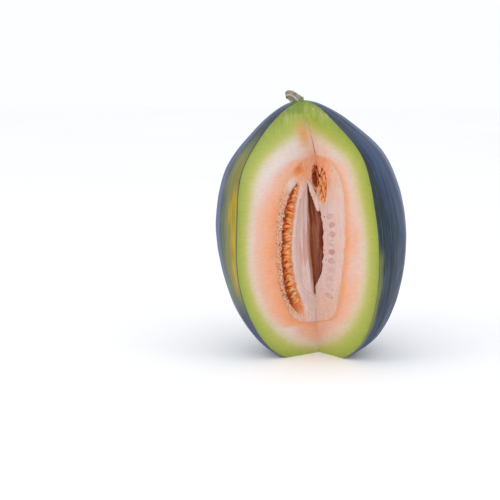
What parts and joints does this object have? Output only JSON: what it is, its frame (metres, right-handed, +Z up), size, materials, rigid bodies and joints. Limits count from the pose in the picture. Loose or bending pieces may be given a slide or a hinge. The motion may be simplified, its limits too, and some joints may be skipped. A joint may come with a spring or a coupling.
{
  "type": "melon",
  "caption": "Ripe dark-skinned melon standing on its blossom end, with a quarter cut out that shows green-edged salmon flesh, seeds and the hollow core.",
  "frame": {"origin": "centre of the flat spot on the blossom end that the melon stands on", "axes": "+Z up, along the fruit from blossom end to stem to within its lean of 5.5 degrees towards -X; the cut quarter opens towards -Y"},
  "size_m": [0.1843, 0.1588, 0.2618],
  "materials": {
    "rind_and_flesh": null,
    "rind": "smooth waxy skin, dark blue-green with fine lengthwise streaks, satin with a bluish bloom",
    "flesh": "moist cut flesh, green under the rind, cream, then salmon towards the core",
    "pulp": "wet fibrous pulp around the hollow, pale pink to orange, glossy",
    "seed": "flat drop-shaped seeds in wet orange sacs, glossy",
    "stem": "dried, ribbed, grey-brown and matt, green where it leaves the crown"
  },
  "bodies": {
    "root": {"melon_body": "rind_and_flesh", "seed_left_01": "seed", "seed_left_02": "seed", "seed_left_03": "seed", "seed_left_04": "seed", "seed_left_05": "seed", "seed_left_06": "seed", "seed_left_07": "seed", "seed_left_08": "seed", "seed_left_09": "seed", "seed_left_10": "seed", "seed_left_11": "seed", "seed_left_12": "seed", "seed_left_13": "seed", "seed_left_14": "seed", "seed_left_15": "seed", "seed_left_16": "seed", "seed_left_17": "seed", "seed_left_18": "seed", "seed_right_01": "seed", "seed_right_02": "seed", "seed_right_03": "seed", "seed_right_04": "seed", "seed_right_05": "seed", "seed_right_06": "seed", "seed_right_07": "seed", "seed_right_08": "seed", "seed_right_09": "seed", "seed_right_10": "seed", "seed_pocket_01": "seed", "seed_pocket_02": "seed", "seed_pocket_03": "seed", "seed_pocket_04": "seed", "seed_pocket_05": "seed", "stem": "stem"}
  },
  "joints": []
}
